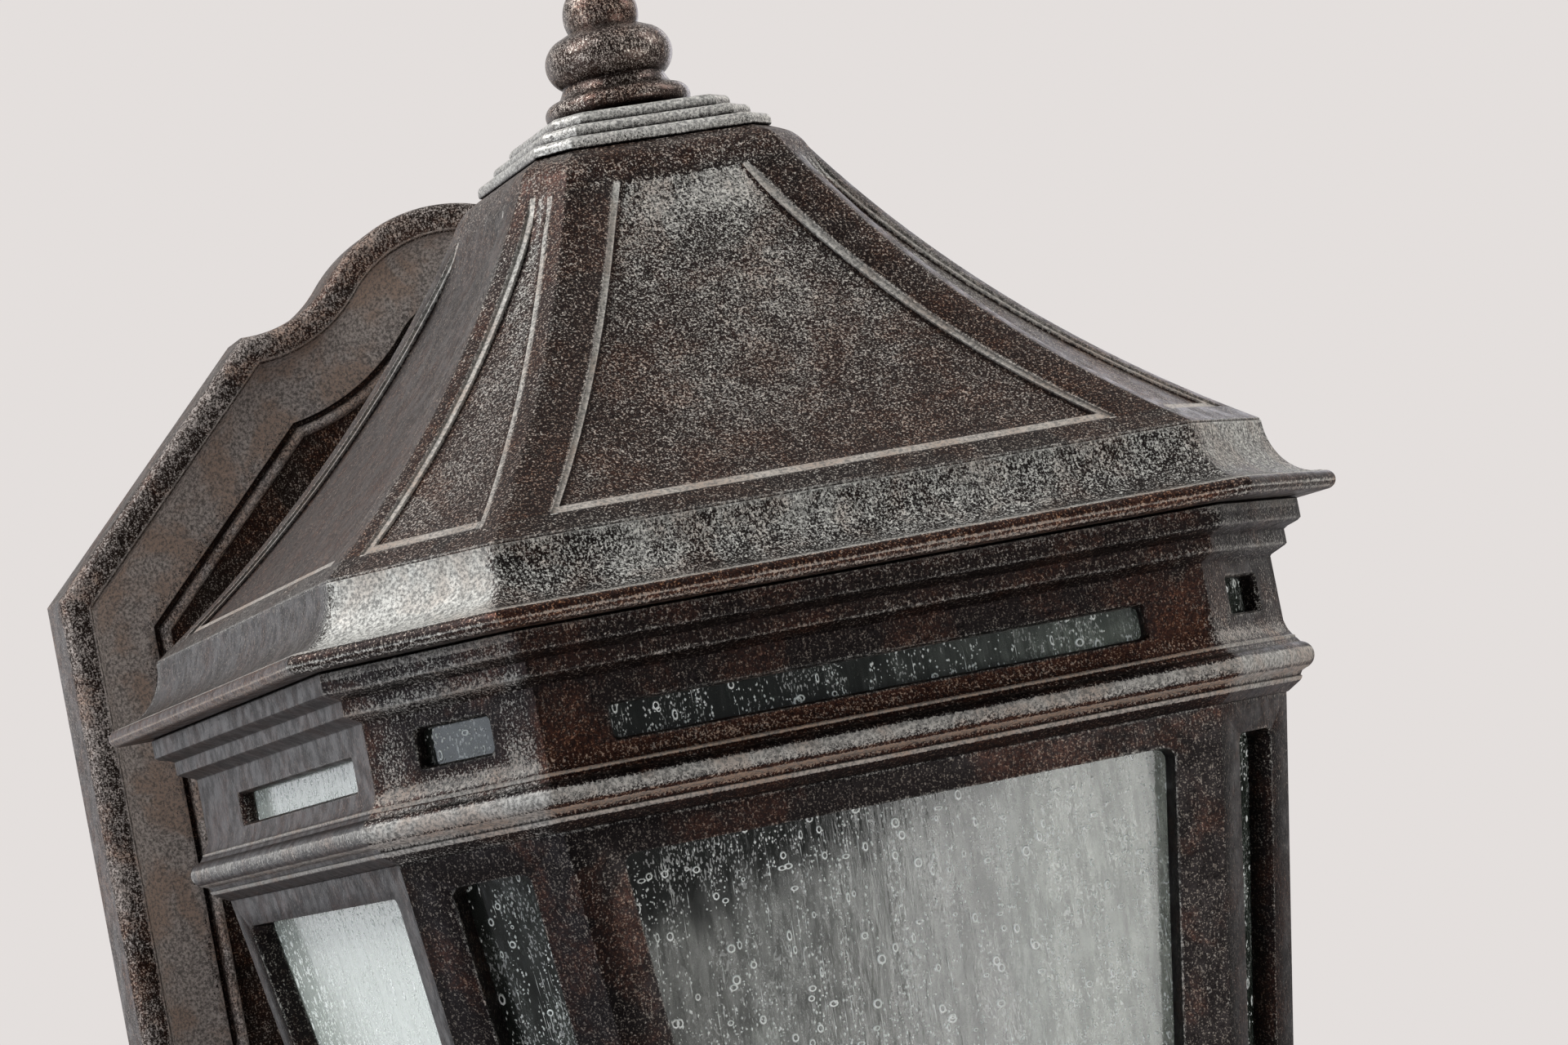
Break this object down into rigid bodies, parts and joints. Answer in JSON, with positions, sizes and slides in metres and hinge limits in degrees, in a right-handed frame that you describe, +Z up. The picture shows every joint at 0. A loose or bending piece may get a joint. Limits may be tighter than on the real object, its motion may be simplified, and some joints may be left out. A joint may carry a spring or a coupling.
{
  "type": "outdoor wall lantern",
  "caption": "Cast outdoor wall lantern: tapered six-sided body with seeded glass, bell roof with sunk panels, turned finial, arm and crested moulded wall plate",
  "frame": {"origin": "centre of the outlet-box slots in the mounting strap, on the wall plane behind the wall plate", "axes": "+X to the right as seen from the room, +Y into the wall, +Z up"},
  "size_m": [0.26, 0.335, 0.6057],
  "materials": {
    "bronze_casting": "cast aluminium, dark antique bronze paint rubbed back to grey on the edges",
    "cap_nut": "brass, blackened to match the casting",
    "zinc_steel": "zinc-plated steel",
    "earth_screw": "green passivated steel",
    "seeded_glass": "clear seeded glass with small bubbles and drawn streaks",
    "bulb_glass": "clear thin glass",
    "lamp_cap": "plain brass",
    "cluster_metal": "antique bronze",
    "sleeve": "ivory card-like plastic",
    "socket": "black moulded plastic"
  },
  "bodies": {
    "lantern": {"wall_plate": "bronze_casting", "mounting_strap": "zinc_steel", "strap_studs": "zinc_steel", "strap_nuts": "zinc_steel", "ground_screw": "earth_screw", "support_arm": "bronze_casting", "arm_plate_screws": "zinc_steel", "arm_body_screws": "zinc_steel", "body_frame": "bronze_casting", "frieze_ring": "bronze_casting", "frieze_screws": "zinc_steel", "pane_front": "seeded_glass", "pane_left": "seeded_glass", "pane_right": "seeded_glass", "pane_corner_left": "seeded_glass", "pane_corner_right": "seeded_glass", "frieze_pane_front": "seeded_glass", "frieze_pane_left": "seeded_glass", "frieze_pane_right": "seeded_glass", "frieze_pane_corner_left": "seeded_glass", "frieze_pane_corner_right": "seeded_glass", "pane_clips": "zinc_steel", "clip_screws": "zinc_steel", "roof_bar": "zinc_steel", "bar_screws": "zinc_steel", "roof_stud": "zinc_steel", "stud_locknuts": "zinc_steel", "base_ring": "bronze_casting", "base_screws": "zinc_steel", "foot_pan": "bronze_casting", "pan_screws": "zinc_steel", "cluster_hub": "cluster_metal", "hub_nipple": "zinc_steel", "hub_locknut": "zinc_steel", "lamp_arm_1": "cluster_metal", "lamp_arm_2": "cluster_metal", "lamp_arm_3": "cluster_metal", "drip_pan_1": "cluster_metal", "drip_pan_2": "cluster_metal", "drip_pan_3": "cluster_metal", "lamp_socket_1": "socket", "lamp_socket_2": "socket", "lamp_socket_3": "socket", "candle_sleeve_1": "sleeve", "candle_sleeve_2": "sleeve", "candle_sleeve_3": "sleeve"},
    "roof": {"roof": "bronze_casting", "roof_collar": "bronze_casting"},
    "finial": {"finial": "bronze_casting"},
    "cap_nut_left": {"cap_nut_left": "cap_nut"},
    "cap_nut_right": {"cap_nut_right": "cap_nut"},
    "bulb_1": {"bulb_cap_1": "lamp_cap", "bulb_glass_1": "bulb_glass"},
    "bulb_2": {"bulb_cap_2": "lamp_cap", "bulb_glass_2": "bulb_glass"},
    "bulb_3": {"bulb_cap_3": "lamp_cap", "bulb_glass_3": "bulb_glass"},
    "foot_drop": {"foot_drop": "bronze_casting"}
  },
  "joints": [
    {"name": "roof_lift", "type": "slide", "parent": "lantern", "child": "roof", "axis": [0, 0, 1], "range_m": [0, 0.16]},
    {"name": "finial_turn", "type": "hinge", "parent": "roof", "child": "finial", "pos_m": [0, -0.205, 0.225], "axis": [0, 0, 1], "continuous": true},
    {"name": "cap_nut_left_turn", "type": "hinge", "parent": "lantern", "child": "cap_nut_left", "pos_m": [-0.057, -0.014, 0], "axis": [0, -1, 0], "continuous": true},
    {"name": "cap_nut_right_turn", "type": "hinge", "parent": "lantern", "child": "cap_nut_right", "pos_m": [0.057, -0.014, 0], "axis": [0, -1, 0], "continuous": true},
    {"name": "foot_drop_turn", "type": "hinge", "parent": "lantern", "child": "foot_drop", "pos_m": [0, -0.205, -0.31], "axis": [0, 0, 1], "continuous": true},
    {"name": "bulb_1_turn", "type": "hinge", "parent": "lantern", "child": "bulb_1", "pos_m": [0, -0.233, -0.16], "axis": [0, 0, 1], "continuous": true},
    {"name": "bulb_2_turn", "type": "hinge", "parent": "lantern", "child": "bulb_2", "pos_m": [0.02425, -0.191, -0.16], "axis": [0, 0, 1], "continuous": true},
    {"name": "bulb_3_turn", "type": "hinge", "parent": "lantern", "child": "bulb_3", "pos_m": [-0.02425, -0.191, -0.16], "axis": [0, 0, 1], "continuous": true}
  ]
}
